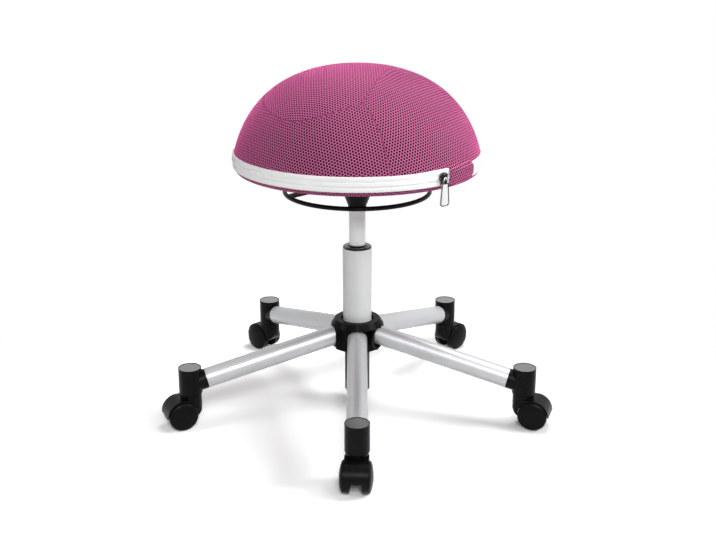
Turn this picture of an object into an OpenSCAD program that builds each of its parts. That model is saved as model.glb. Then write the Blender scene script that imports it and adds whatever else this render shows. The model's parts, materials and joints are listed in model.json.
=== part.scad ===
// Height-adjustable office stool with an inflated half-ball seat.
// Millimetres, +Z up. The origin is on the floor, under the axis of the column.
// The front leg points along -Y.

/* [Casters] */
// Diameter of a caster wheel
wheel_d = 50; // [44:1:60]
// Width of one wheel, from its inner face to the crown of its domed face
wheel_w = 16.6; // [12:0.2:18]
// How far the wheel axle trails behind the stem
caster_trail = 20; // [16:0.5:24]
// Diameter of the caster's neck under the socket
neck_d = 36; // [32:0.5:40]
// Thickness of the hood over the wheels
hood_wall = 1.8; // [1.5:0.1:3]
// Diameter of a wheel axle
axle_d = 6; // [5:0.5:8]
// Diameter of the caster stem
stem_d = 11; // [8:0.5:12]
// Turn of the front caster about its stem, in degrees
front_caster_turn = -4; // [-30:0.5:30]
// Turn of the right caster
right_caster_turn = -2.5; // [-30:0.5:30]
// Turn of the caster behind on the right
rear_right_caster_turn = -9; // [-30:0.5:30]
// Turn of the caster behind on the left
rear_left_caster_turn = 10; // [-30:0.5:30]
// Turn of the left caster
left_caster_turn = 8.5; // [-30:0.5:30]

/* [Star base] */
// Radius of the circle through the five caster stems
foot_radius = 298; // [260:1:340]
// Slope of the legs below level, in degrees
leg_slope = 12.5; // [10:0.5:15]
// Outer diameter of a leg tube
leg_d = 34; // [30:0.5:35]
// Wall of a leg tube
leg_wall = 2; // [1.5:0.1:3]
// Diameter of a leg's end socket
socket_d = 39.4; // [37:0.2:44]
// Height of a leg's end socket
socket_h = 45.6; // [43:0.2:52]
// Radius of the hub at the edge of its top cone
hub_skirt_r = 46; // [44:0.5:52]

/* [Column] */
// Outer diameter of the silver column sleeve
sleeve_d = 50; // [48:0.5:54]
// Wall of the column sleeve
sleeve_wall = 1.2; // [1:0.1:1.6]
// Length of sleeve that shows above the hub
sleeve_show = 129; // [110:1:160]
// Outer diameter of the black stand tube under the hub
stand_d = 44; // [41:0.2:44.4]
// Wall of the stand tube
stand_wall = 2; // [1.5:0.1:2.5]
// How far the stand tube hangs below the hub
stand_drop = 79; // [60:1:82]
// Outer diameter of the pressure tube that the seat sits on
lift_d = 28; // [26:0.5:28]
// Wall of the pressure tube
lift_wall = 1.5; // [1:0.1:2]
// Diameter of the piston rod
rod_d = 10; // [8:0.5:12]
// Length of pressure tube that shows at the rest height
lift_show = 65; // [64:1:80]
// Travel of the seat downwards from the rest height
travel_down = 60; // [50:1:60]
// Travel of the seat upwards from the rest height
travel_up = 38; // [20:1:40]

/* [Seat] */
// Height of the black boss under the seat
boss_h = 70.8; // [64:0.2:80]
// Thickness of the steel mount plate
plate_t = 3.2; // [2.5:0.1:5]
// Radius of the mount plate
plate_r = 76; // [74:1:84]
// Diameter of the circle through the four mount screws
screw_circle_d = 120; // [116:1:124]
// Thickness of the seat board
board_t = 12; // [10:0.5:15]
// Height of the white zip band
band_h = 24; // [21:0.5:30]
// Outer radius of the white zip band
band_r = 207.3; // [195:0.1:215]
// Rise of the half ball above the band
dome_h = 139.4; // [120:0.1:160]
// How flat the crown of the half ball is: reach of its level tangent
dome_flat = 170.4; // [150:0.1:180]
// Length of the straight pull of the cover above the band
dome_pull = 23.6; // [10:0.1:40]
// Lean of the cover's side at the band, in degrees
dome_lean = 18.1; // [10:0.1:25]
// Thickness of the spacer mesh cover
cover_t = 3; // [2:0.1:4]
// Wall of the inflated half ball
ball_wall = 3; // [2:0.1:5]

/* [Release hoop] */
// Radius of the hoop's centre line
hoop_r = 122.2; // [110:0.2:130]
// Diameter of the hoop's rod
hoop_rod_d = 7.4; // [6:0.1:9]
// Drop of the hoop's centre line below its strap
hoop_drop = 11; // [6:0.1:12]
// Width of the flat strap across the hoop
strap_w = 20; // [16:0.5:22]
// Thickness of the strap
strap_t = 2.5; // [2:0.1:3]
// Distance of the hoop's pin from the column axis
hoop_pin_offset = 24; // [22:0.5:25]

/* [Hidden] */
$fn = 64;
leg_angles = [270, 342, 54, 126, 198];
caster_turns = [front_caster_turn, right_caster_turn, rear_right_caster_turn,
    rear_left_caster_turn, left_caster_turn];
strap_angle = 20;
run_gap = 0.05;   // radial clearance where something turns or slides
seat_gap = 0.1;   // clearance between faces that are stacked
fit_gap = 0.02;   // radial clearance of what is pressed in
cut = 1;          // how far a cutting solid runs past a face

// Casters: heights above the floor and widths from the wheels' middle plane
wheel_r = wheel_d / 2;
axle_r = axle_d / 2;
wheel_clear = 0.9;
hood_in_r = wheel_r + wheel_clear;
hood_r = hood_in_r + hood_wall;
wheel_inner_y = 9.8;
wheel_outer_y = wheel_inner_y + wheel_w;
dome_bulge = 6.5;
tread_outer_y = wheel_outer_y - dome_bulge;
hood_inset = 1;
hood_half_w = tread_outer_y - hood_inset;
boss_half_w = wheel_inner_y - 0.2;
axle_half_l = wheel_outer_y - 3.2;
hub_boss_r = axle_r + 3.5;
web_half_w = 4;
neck_r = neck_d / 2;
neck_top_z = wheel_d + 7.6;
neck_curve_r = 20;
neck_side_h = 17.6;
neck_curve_z = neck_top_z - neck_side_h;
stem_r = stem_d / 2;
stem_above_axle = 18.4;
stem_low_z = wheel_r + stem_above_axle;
stem_collar_r = stem_r + 4;
stem_collar_t = 1.5;
socket_low_z = neck_top_z + stem_collar_t + 2 * seat_gap;
stem_in_socket = 30;

// Star base: the axis of a leg meets its stem axis at foot_axis_z
socket_r = socket_d / 2;
foot_axis_z = socket_low_z + 15.9;
hub_axis_z = foot_axis_z + foot_radius * tan(leg_slope);
leg_r = leg_d / 2;
leg_in_r = leg_r - leg_wall;
collar_reach = socket_r + 8.5;
leg_end = foot_radius / cos(leg_slope) - collar_reach;
spigot_l = 30;
cap_r = socket_r - 1.2;
cap_t = 2;
cap_inset = 0.5;
hub_above_axis = 19;
hub_below_axis = 36;
hub_top_z = hub_axis_z + hub_above_axis;
hub_skirt_z = hub_axis_z + 9;
hub_low_z = hub_axis_z - hub_below_axis;
hub_top_r = hub_skirt_r - 6.5;
hub_body_r = hub_skirt_r - 4.8;
hub_lip_h = 2.4;
hub_web_top = hub_body_r - 0.6;
hub_web_low = hub_body_r - 7.2;
hub_leg_face = hub_body_r - 1;
hub_face_draft = 0.8;
groove_r = sleeve_d / 2 + 3.5;
groove_z = hub_top_z - 8;
leg_screw_at = hub_body_r - 8.2;
leg_screw_r = 2.5;
leg_screw_head_r = 4.5;
leg_screw_head_h = 4;

// Column: heights above the floor
stand_r = stand_d / 2;
stand_in_r = stand_r - stand_wall;
leg_start = stand_r + 7.2;
stand_taper = 0.4;
stand_top_r = stand_r + stand_taper;
taper_low_z = hub_low_z + 4;
taper_top_z = groove_z - 2;
stand_low_z = hub_low_z - stand_drop;
stand_floor_t = 3;
sleeve_r = sleeve_d / 2;
sleeve_in_r = sleeve_r - sleeve_wall;
sleeve_top_z = hub_top_z + sleeve_show;
bush_flange_t = 3;
bush_top_z = sleeve_top_z + bush_flange_t;
bush_l = 74;
bush_collar_h = 3;
lift_r = lift_d / 2;
lift_in_r = lift_r - lift_wall;
rod_r = rod_d / 2;
bearing_low_z = stand_low_z + stand_floor_t;
bearing_h = 6;
rod_collar_r = rod_r + 4;
rod_collar_t = 3;
rod_tail = 3.5;
clip_t = 1.5;
lift_foot_gap = 20;
lift_low_z = bearing_low_z + bearing_h + rod_collar_t + travel_down + lift_foot_gap;
gland_l = 20;
piston_l = 12;
piston_low_z = lift_low_z + gland_l + travel_up + 4;
rod_top_z = piston_low_z + piston_l;

// Seat: the zero of its own heights is the foot of the boss
seat_z = bush_top_z + lift_show;
lift_top_h = boss_h * 0.5 - 0.4;
lift_cap_t = 4;
button_r = 4;
button_l = 18;
button_tip = 1.2;
button_rise = 6.8;
strap_low_h = lift_top_h + button_rise + 2 * seat_gap;
hoop_pin_r = 3;
hoop_pin_h = strap_low_h + hoop_pin_r;
hoop_eye_r = hoop_pin_r + 2.4;
hoop_h = strap_low_h + strap_t / 2 - hoop_drop;
slot_low_h = lift_top_h - 0.5;
slot_top_h = hoop_pin_h + hoop_eye_r + 1;
slot_half_w = strap_w / 2 + 0.6;
boss_foot_r = lift_r + 1.7;
boss_step_h = 9;
boss_top_r = 46;
boss_flare = boss_top_r - boss_foot_r;
plate_low_h = boss_h;
board_low_h = plate_low_h + plate_t + seat_gap;
board_top_h = board_low_h + board_t;
edge_round = 5.2;
skin_t = 2;
board_r = band_r - 5.1;
edge_centre_r = board_r - edge_round;
skin_gap = 0.3;
band_low_h = board_low_h + edge_round;
stripe_h = band_h / 3;
dome_low_h = band_low_h + band_h;
dome_r = band_r - 2.9;
tape_in_r = band_r - 3.9;
ball_low_h = board_top_h + seat_gap;
ball_r = dome_r - cover_t - skin_gap;
ball_edge_round = 8;
skin_hole_r = plate_r + 1.2;
screw_r = 4;
screw_head_r = 7;
screw_head_h = 5;
insert_r = 5.6;
insert_flange_r = 9;
insert_flange_t = 1.1;
valve_at = [0, 118];
valve_r = 5;
valve_flange_r = 8;
valve_hole_r = 14;

// Zip: the slider stops where the band's end is tucked under the flap
zip_end_angle = 308.7;
flap_angle = 312.7;
flap_sweep = 19.6;
flap_t = 1.8;
flap_low_h = band_low_h - 2;
flap_top_h = dome_low_h + 6;
coil_r = band_r + 0.9;
coil_low_h = band_low_h + stripe_h + 0.2;
coil_h = stripe_h - 0.4;
slider_r = 9.2;
slider_t = 2.2;
slider_face_r = coil_r + 0.4;
slider_mid_h = coil_low_h + coil_h / 2 + 0.6;
bail_at_r = slider_face_r + slider_t + 3;
bail_r = 1.2;
bail_half_l = 4.5;
bail_h = slider_mid_h - 4;
puller_l = 39;
puller_top_w = 13;
puller_low_w = 18.4;
puller_t = 1.6;
puller_rim = 1.5;

// Seams of the mesh cover, in plan: a front corner where three panels meet
seam_corner = [8.7, -140.5];
seam_w = 2.2;
seam_depth = 1;
side_seam = [[-152, 0], [-158, -95], [-105, -185], seam_corner];
crown_seam = [seam_corner, [18, -118], [50, -50], [52, 0]];
drop_seam = [seam_corner, [24, -162], [38, -178], [54, -206]];
seam_steps = 12;

// Curves

function bezier(p, t) = pow(1 - t, 3) * p[0] + 3 * pow(1 - t, 2) * t * p[1]
    + 3 * (1 - t) * t * t * p[2] + pow(t, 3) * p[3];

function bezier_slope(p, t) = 3 * pow(1 - t, 2) * (p[1] - p[0]) + 6 * (1 - t) * t * (p[2] - p[1])
    + 3 * t * t * (p[3] - p[2]);

// Side of the half ball, inset by d, from the apex down to its rim
function dome_curve(d, steps) = let(
        r = dome_r - d,
        h = dome_h - d,
        frame = [[0, h], [dome_flat * r / dome_r, h],
            [r - dome_pull * sin(dome_lean), dome_pull * cos(dome_lean)], [r, 0]])
    [for (i = [0:steps]) bezier(frame, i / steps)];

function reversed(list) = [for (i = [len(list) - 1:-1:0]) list[i]];

function arc(c, r, a0, a1, steps) = [for (i = [0:steps])
    let(a = a0 + (a1 - a0) * i / steps) [c[0] + r * cos(a), c[1] + r * sin(a)]];

// Rounded lower edge of the seat, d outside the board
function edge_line(d, steps) = arc([edge_centre_r, band_low_h], edge_round + d, -90, 0, steps);

// A strip of even width along a curve in plan
function seam_side(p, side) = [for (i = [0:seam_steps]) let(
        t = i / seam_steps,
        v = bezier_slope(p, t),
        n = [-v[1], v[0]] / norm(v))
    bezier(p, t) + side * seam_w / 2 * n];

module seam_strip(p) {
    polygon(concat(seam_side(p, 1), reversed(seam_side(p, -1))));
}

// Places

module at_leg(i) {
    rotate(leg_angles[i]) children();
}

// Along a leg: +X runs down the leg's axis from the column axis
module on_leg_axis(i) {
    at_leg(i) translate([0, 0, hub_axis_z]) rotate([0, leg_slope, 0]) children();
}

module at_foot(i) {
    at_leg(i) translate([foot_radius, 0, 0]) children();
}

// In a caster's own frame: +X trails away from the stem
module at_caster(i) {
    at_foot(i) rotate(caster_turns[i]) children();
}

module at_seat() {
    translate([0, 0, seat_z]) children();
}

module around_x(r, l) {
    rotate([0, 90, 0]) cylinder(r = r, h = l);
}

module around_y(r, half_l) {
    rotate([90, 0, 0]) cylinder(r = r, h = 2 * half_l, center = true);
}

module ring(r_in, r_out, h) {
    difference() {
        cylinder(r = r_out, h = h);
        translate([0, 0, -cut]) cylinder(r = r_in, h = h + 2 * cut);
    }
}

// Star base

// A face square to each leg, and a deeper drafted one between each two legs
module hub_body() {
    intersection() {
        translate([0, 0, hub_low_z]) cylinder(r = hub_body_r, h = hub_skirt_z - hub_low_z);
        hub_faces(0, hub_leg_face - hub_face_draft, hub_leg_face);
        hub_faces(36, hub_web_low, hub_web_top);
    }
}

// Room inside five faces that lean out from low_r at the hub's foot to top_r under its skirt
module hub_faces(turn, low_r, top_r) {
    draft = atan((top_r - low_r) / (hub_skirt_z - hub_low_z));
    side = 3 * hub_skirt_r;
    intersection_for(a = leg_angles)
        rotate(a + turn) translate([low_r, 0, hub_low_z]) rotate([0, draft, 0])
            translate([-side, -side / 2, -side / 2]) cube([side, side, 2 * side]);
}

module leg_bore(i) {
    on_leg_axis(i) translate([leg_start, 0, 0]) around_x(leg_r + fit_gap, foot_radius / 2);
}

module stand_bore() {
    translate([0, 0, hub_low_z - cut]) cylinder(r = stand_r + fit_gap, h = taper_low_z - hub_low_z + cut);
    translate([0, 0, taper_low_z])
        cylinder(r1 = stand_r + fit_gap, r2 = stand_top_r + fit_gap, h = taper_top_z - taper_low_z);
    translate([0, 0, taper_top_z]) cylinder(r = stand_top_r + fit_gap, h = hub_top_z - taper_top_z + cut);
}

module base_hub() {
    color("#161616") difference() {
        union() {
            hub_body();
            translate([0, 0, hub_skirt_z - hub_lip_h])
                cylinder(r1 = hub_body_r, r2 = hub_skirt_r, h = hub_lip_h);
            translate([0, 0, hub_skirt_z])
                cylinder(r1 = hub_skirt_r, r2 = hub_top_r, h = hub_top_z - hub_skirt_z);
        }
        stand_bore();
        translate([0, 0, groove_z]) ring(sleeve_in_r - fit_gap - 0.1, groove_r, hub_top_z);
        translate([0, 0, groove_z + 4]) cylinder(r = groove_r, h = hub_top_z);
        for (i = [0:4]) {
            leg_bore(i);
            at_leg(i) translate([leg_screw_at, 0, hub_low_z - cut]) {
                cylinder(r = leg_screw_r + run_gap, h = leg_r);
                cylinder(r = leg_screw_head_r + run_gap, h = leg_screw_head_h + cut + seat_gap);
            }
        }
    }
}

module leg(i) {
    color("#b9bcbf") difference() {
        on_leg_axis(i) translate([leg_start + seat_gap, 0, 0])
            rotate([0, 90, 0]) ring(leg_in_r, leg_r, leg_end - leg_start - 2 * seat_gap);
        at_leg(i) translate([leg_screw_at, 0, hub_low_z]) cylinder(r = leg_screw_r + run_gap, h = leg_d);
    }
}

module socket(i) {
    color("#141414") difference() {
        union() {
            at_foot(i) translate([0, 0, socket_low_z]) cylinder(r1 = socket_r, r2 = socket_r - 0.3, h = socket_h);
            on_leg_axis(i) translate([leg_end, 0, 0]) around_x(leg_r, collar_reach - stem_r - 2);
            on_leg_axis(i) translate([leg_end - spigot_l, 0, 0]) around_x(leg_in_r - fit_gap, spigot_l + cut);
        }
        at_foot(i) translate([0, 0, socket_low_z - cut])
            cylinder(r = stem_r + fit_gap, h = stem_in_socket + cut + seat_gap);
        at_foot(i) translate([0, 0, socket_low_z + socket_h - cap_t - cap_inset - seat_gap])
            cylinder(r = cap_r + fit_gap, h = cap_t + cap_inset + cut);
    }
}

module socket_caps() {
    color("#2a2c2e") for (i = [0:4])
        at_foot(i) translate([0, 0, socket_low_z + socket_h - cap_t - cap_inset]) {
            cylinder(r = cap_r, h = cap_t - 0.4);
            translate([0, 0, cap_t - 0.4]) cylinder(r1 = cap_r, r2 = cap_r - 0.4, h = 0.4);
        }
}

module leg_screws() {
    leg_low_z = hub_axis_z - leg_screw_at * tan(leg_slope) - leg_r / cos(leg_slope);
    color("#303236") for (i = [0:4])
        at_leg(i) translate([leg_screw_at, 0, hub_low_z]) {
            difference() {
                cylinder(r = leg_screw_head_r, h = leg_screw_head_h);
                translate([0, 0, -cut]) cylinder(r = 2, h = leg_screw_head_h / 2 + cut, $fn = 6);
            }
            cylinder(r = leg_screw_r, h = leg_low_z - hub_low_z + leg_wall + 3);
        }
}

module caster_stems() {
    color("#8e9194") for (i = [0:4]) at_foot(i) {
        translate([0, 0, stem_low_z + 0.3]) cylinder(r = stem_r, h = socket_low_z + stem_in_socket - stem_low_z - 0.3);
        translate([0, 0, neck_top_z + seat_gap]) cylinder(r = stem_collar_r, h = stem_collar_t);
    }
}

// Column

module stand_tube() {
    color("#131313") difference() {
        union() {
            translate([0, 0, stand_low_z]) cylinder(r = stand_r, h = taper_low_z - stand_low_z);
            translate([0, 0, taper_low_z]) cylinder(r1 = stand_r, r2 = stand_top_r, h = taper_top_z - taper_low_z);
            translate([0, 0, taper_top_z]) cylinder(r = stand_top_r, h = sleeve_top_z - taper_top_z - seat_gap);
        }
        translate([0, 0, bearing_low_z]) cylinder(r = stand_in_r, h = sleeve_top_z);
        translate([0, 0, stand_low_z - cut]) cylinder(r = rod_r + run_gap, h = stand_floor_t + 2 * cut);
    }
}

module column_sleeve() {
    color("#b4b7b9") translate([0, 0, groove_z]) ring(sleeve_in_r, sleeve_r, sleeve_top_z - groove_z);
}

module column_bush() {
    color("#0f0f10") translate([0, 0, sleeve_top_z]) rotate_extrude() polygon([
        [lift_r + run_gap, -bush_l],
        [stand_in_r - fit_gap, -bush_l],
        [stand_in_r - fit_gap, 0],
        [sleeve_r - 0.2, 0],
        [sleeve_r - 0.2, bush_flange_t * 0.55],
        [sleeve_r - 1.4, bush_flange_t],
        [lift_r + 4.5, bush_flange_t + bush_collar_h * 0.3],
        [lift_r + 3, bush_flange_t + bush_collar_h],
        [lift_r + run_gap, bush_flange_t + bush_collar_h]]);
}

module thrust_bearing() {
    color("#9a9da0") translate([0, 0, bearing_low_z]) difference() {
        ring(rod_r + 0.4, rod_collar_r + 2, bearing_h);
        translate([0, 0, bearing_h / 3]) ring(rod_collar_r + 1, rod_collar_r + 2 + cut, bearing_h / 3);
    }
}

module piston_rod() {
    color("#a8abae") {
        translate([0, 0, stand_low_z - rod_tail]) cylinder(r = rod_r, h = rod_top_z - stand_low_z + rod_tail);
        translate([0, 0, bearing_low_z + bearing_h + run_gap]) cylinder(r = rod_collar_r, h = rod_collar_t);
    }
}

module piston() {
    color("#3a3c3e") translate([0, 0, piston_low_z]) difference() {
        ring(rod_r + fit_gap, lift_in_r - run_gap, piston_l);
        translate([0, 0, piston_l / 3]) ring(lift_in_r - 1.5, lift_in_r + cut, piston_l / 3);
    }
}

module rod_clip() {
    color("#77797b") translate([0, 0, stand_low_z - 0.2 - clip_t]) ring(rod_r + fit_gap, rod_r + 4, clip_t);
}

// Casters

// Side view of the housing: the hood round the wheels and the neck's rounded back
module housing_outline() {
    difference() {
        union() {
            intersection() {
                translate([caster_trail, wheel_r]) circle(r = hood_r);
                translate([0, wheel_r + 1]) square([caster_trail + hood_r + cut, hood_r]);
            }
            neck_outline();
        }
        translate([caster_trail, wheel_r]) circle(r = hood_in_r);
    }
}

module neck_outline() {
    translate([-neck_r, neck_curve_z]) square([2 * neck_r, neck_top_z - neck_curve_z]);
    intersection() {
        translate([neck_curve_r - neck_r, neck_curve_z]) circle(r = neck_curve_r);
        translate([-neck_r, 0]) square([2 * neck_r, neck_curve_z + 0.01]);
    }
}

module slab(half_w) {
    rotate([90, 0, 0]) linear_extrude(height = 2 * half_w, center = true) children();
}

module caster_housing(i) {
    color("#121212") at_caster(i) difference() {
        union() {
            intersection() {
                slab(neck_r + cut) housing_outline();
                cylinder(r = neck_r, h = neck_top_z);
            }
            intersection() {
                slab(hood_half_w) housing_outline();
                translate([0, -wheel_d, 0]) cube([3 * wheel_d, 2 * wheel_d, neck_top_z - 5.4]);
            }
            slab(web_half_w) web_outline();
            translate([caster_trail, 0, wheel_r]) around_y(hub_boss_r, boss_half_w);
        }
        translate([caster_trail, 0, wheel_r]) around_y(axle_r + fit_gap, wheel_outer_y);
        translate([0, 0, stem_low_z]) cylinder(r = stem_r + run_gap, h = neck_top_z);
    }
}

// Web between the wheels, from the neck and the hood down to the axle
module web_outline() {
    intersection() {
        translate([caster_trail, wheel_r]) circle(r = hood_in_r + 0.3);
        polygon([[-neck_r, neck_curve_z - 6], [caster_trail - hub_boss_r, wheel_r - 4],
            [caster_trail + hub_boss_r * 0.8, wheel_r - 4], [caster_trail + 12, wheel_r + hood_in_r + 1],
            [-neck_r, wheel_r + hood_in_r + 1]]);
    }
}

module caster_axle(i) {
    color("#a3a6a9") at_caster(i) translate([caster_trail, 0, wheel_r]) around_y(axle_r, axle_half_l);
}

// One wheel: tread, domed outer face, hollow inner face and blind bore
module wheel(i, side) {
    color("#101010") at_caster(i) translate([caster_trail, 0, wheel_r]) rotate([side * -90, 0, 0])
        rotate_extrude() polygon(concat(
            [[axle_r + run_gap, wheel_inner_y], [hub_boss_r, wheel_inner_y], [hub_boss_r, wheel_inner_y + 4],
                [wheel_r - 5, wheel_inner_y + 4], [wheel_r - 4, wheel_inner_y], [wheel_r - 0.8, wheel_inner_y]],
            [[wheel_r, wheel_inner_y + 0.8]],
            [for (a = [0:9:90]) [wheel_r * cos(a), tread_outer_y + dome_bulge * sin(a)]],
            [[0, axle_half_l + 0.4], [axle_r + run_gap, axle_half_l + 0.4]]));
}

// Seat

module pressure_tube() {
    low_h = lift_low_z - seat_z;
    color("#c9ccce") at_seat() translate([0, 0, low_h]) difference() {
        cylinder(r = lift_r, h = lift_top_h - low_h);
        translate([0, 0, -cut]) cylinder(r = lift_in_r, h = lift_top_h - low_h - lift_cap_t + cut);
        cylinder(r = button_r + run_gap, h = lift_top_h - low_h + cut);
    }
}

module rod_gland() {
    color("#2c2e30") translate([0, 0, lift_low_z]) ring(rod_r + run_gap, lift_in_r - fit_gap, gland_l);
}

// The boss flares from the pressure tube to the mount plate
module boss_profile() {
    polygon([
        [0, 0],
        [boss_foot_r - 0.6, 0],
        [boss_foot_r, 0.8],
        [boss_foot_r, boss_step_h],
        [boss_foot_r + 1.5, boss_step_h + 1],
        [boss_foot_r + 2.2, boss_step_h + 3.5],
        [boss_foot_r + boss_flare * 0.195, boss_h * 0.312],
        [boss_foot_r + boss_flare * 0.356, boss_h * 0.47],
        [boss_foot_r + boss_flare * 0.56, boss_h * 0.65],
        [boss_foot_r + boss_flare * 0.746, boss_h * 0.8],
        [boss_top_r - 1.5, boss_h * 0.93],
        [boss_top_r, boss_h],
        [0, boss_h]]);
}

module seat_cone() {
    color("#141516") at_seat() difference() {
        rotate_extrude() boss_profile();
        translate([0, 0, -cut]) cylinder(r = lift_r + fit_gap, h = lift_top_h + cut + seat_gap);
        rotate(strap_angle) translate([-boss_top_r - cut, -slot_half_w, slot_low_h])
            cube([2 * (boss_top_r + cut), 2 * slot_half_w, slot_top_h - slot_low_h]);
        at_hoop_pin() around_y(hoop_pin_r + fit_gap, boss_top_r);
    }
}

// The pin lies across the strap, on the side away from strap_angle
module at_hoop_pin() {
    rotate(strap_angle) translate([-hoop_pin_offset, 0, hoop_pin_h]) children();
}

module ring_pin() {
    half_l = sqrt(pow(boss_foot_r + 16, 2) - pow(hoop_pin_offset, 2)) - 1;
    color("#9a9da0") at_seat() at_hoop_pin() around_y(hoop_pin_r, half_l);
}

module release_button() {
    color("#b08d3c") at_seat() translate([0, 0, lift_top_h + button_rise - button_l]) {
        cylinder(r = button_r, h = button_l - button_tip);
        translate([0, 0, button_l - button_tip]) cylinder(r1 = button_r, r2 = button_r - 2.5, h = button_tip);
    }
}

// Strap across the hoop: level through the boss, then down to the rod on each side
module strap_outline() {
    run = hoop_r - 1;
    bend = 42;
    rod_top_h = hoop_h + 0.5;
    half = [[0, strap_low_h], [bend, strap_low_h], [run, rod_top_h - strap_t], [run, rod_top_h],
        [bend, strap_low_h + strap_t], [0, strap_low_h + strap_t]];
    polygon(half);
    mirror([1, 0]) polygon(half);
}

module release_ring() {
    color("#101112") at_seat() difference() {
        union() {
            translate([0, 0, hoop_h]) rotate_extrude() translate([hoop_r, 0]) circle(r = hoop_rod_d / 2, $fn = 32);
            rotate(strap_angle) slab(strap_w / 2) strap_outline();
            at_hoop_pin() around_y(hoop_eye_r, strap_w / 2);
        }
        at_hoop_pin() around_y(hoop_pin_r + run_gap, strap_w);
    }
}

module at_screws() {
    for (a = [0:90:270]) rotate(strap_angle + 45 + a) translate([screw_circle_d / 2, 0, 0]) children();
}

module mount_plate() {
    color("#1b1c1d") at_seat() translate([0, 0, plate_low_h + seat_gap / 2]) difference() {
        cylinder(r = plate_r, h = plate_t);
        at_screws() translate([0, 0, -cut]) cylinder(r = screw_r + 0.3, h = plate_t + 2 * cut);
    }
}

module mount_screws() {
    color("#85888b") at_seat() at_screws() {
        translate([0, 0, plate_low_h - screw_head_h]) difference() {
            union() {
                cylinder(r = screw_head_r, h = screw_head_h - 1);
                translate([0, 0, screw_head_h - 1]) cylinder(r = screw_head_r + 1, h = 1);
            }
            translate([0, 0, -cut]) cylinder(r = 3, h = 2 + cut, $fn = 6);
        }
        translate([0, 0, plate_low_h]) cylinder(r = screw_r, h = plate_t + board_t - 1);
    }
}

module board_inserts() {
    color("#a9acaf") at_seat() at_screws() translate([0, 0, board_low_h + 0.5]) difference() {
        union() {
            cylinder(r = insert_r, h = board_t - 0.7);
            translate([0, 0, board_t - 0.7 - insert_flange_t]) cylinder(r = insert_flange_r, h = insert_flange_t);
        }
        translate([0, 0, -cut]) cylinder(r = screw_r + fit_gap, h = board_t + 2 * cut);
    }
}

module seat_board() {
    color("#b79a6a") at_seat() difference() {
        rotate_extrude() polygon(concat(
            [[0, board_top_h], [0, board_low_h]],
            edge_line(0, 6),
            [[board_r, board_top_h]]));
        at_screws() {
            translate([0, 0, board_low_h - cut]) cylinder(r = insert_r + fit_gap, h = board_t + 2 * cut);
            translate([0, 0, board_top_h - insert_flange_t - 0.25])
                cylinder(r = insert_flange_r + fit_gap, h = insert_flange_t + cut);
        }
        translate([valve_at[0], valve_at[1], board_low_h - cut]) cylinder(r = valve_hole_r, h = board_t + 2 * cut);
    }
}

// Inflated half ball: a hollow shell with a flat foot
module ball_shape(d) {
    foot_r = ball_r - d;
    rotate_extrude() polygon(concat(
        [[0, ball_low_h + d]],
        arc([foot_r - ball_edge_round, ball_low_h + d + ball_edge_round], ball_edge_round, -90, 0, 5),
        [for (p = reversed(dome_curve(dome_r - foot_r, 20))) [p[0], p[1] + dome_low_h]]));
}

module half_ball() {
    color("#8f2f62") at_seat() difference() {
        ball_shape(0);
        ball_shape(ball_wall);
        translate([valve_at[0], valve_at[1], ball_low_h - cut]) cylinder(r = valve_r + fit_gap, h = ball_wall + 2 * cut);
    }
}

module valve_plug() {
    color("#e8e8e6") at_seat() translate([valve_at[0], valve_at[1], ball_low_h]) {
        cylinder(r = valve_r, h = ball_wall + 1);
        translate([0, 0, ball_wall + run_gap]) cylinder(r = valve_flange_r, h = 1.5);
    }
}

module dome_solid(d, low) {
    rotate_extrude() polygon(concat([[0, low]], reversed(dome_curve(d, 22))));
}

// Mesh cover: a domed shell with grooves where its three panels are sewn together
module cover_top() {
    color("#c8488c") at_seat() translate([0, 0, dome_low_h]) difference() {
        dome_solid(0, 0);
        translate([0, 0, -0.001]) dome_solid(cover_t, 0);
        intersection() {
            difference() {
                dome_solid(-cut, 0);
                translate([0, 0, -0.001]) dome_solid(seam_depth, 0);
            }
            translate([0, 0, 4]) linear_extrude(height = 2 * dome_h) for (m = [0, 1]) mirror([0, m]) {
                seam_strip(side_seam);
                seam_strip(crown_seam);
                seam_strip(drop_seam);
            }
        }
    }
}

module cover_bottom() {
    low_h = board_low_h - skin_gap;
    color("#b8407f") at_seat() rotate_extrude() polygon(concat(
        [[skin_hole_r, low_h]],
        edge_line(skin_gap, 6),
        reversed(edge_line(skin_gap + skin_t, 6)),
        [[skin_hole_r, low_h - skin_t]]));
}

// White zip tapes above and below the coil, each with a rolled outer edge
module zip_tape(low_h, edge) {
    h = stripe_h - 0.2;
    translate([0, 0, low_h]) rotate_extrude() polygon([
        [tape_in_r, 0],
        [band_r - 0.9 * (1 - edge) - 0.6, 0],
        [band_r - 0.3 * (1 - edge), h * 0.2],
        [band_r, h * 0.5],
        [band_r - 0.3 * edge, h * 0.8],
        [band_r - 0.9 * edge - 0.6, h],
        [tape_in_r, h]]);
}

module zip_tapes() {
    color("#f2f2f0") at_seat() {
        zip_tape(band_low_h + 0.1, 0);
        zip_tape(band_low_h + band_h - stripe_h + 0.1, 1);
    }
}

module zip_coil() {
    color("#fafaf8") at_seat() translate([0, 0, coil_low_h]) rotate_extrude() polygon([
        [tape_in_r + 0.5, -0.1],
        [band_r - 0.4, -0.1],
        [coil_r, coil_h * 0.25],
        [coil_r, coil_h * 0.75],
        [band_r - 0.4, coil_h + 0.1],
        [tape_in_r + 0.5, coil_h + 0.1]]);
}

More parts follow.
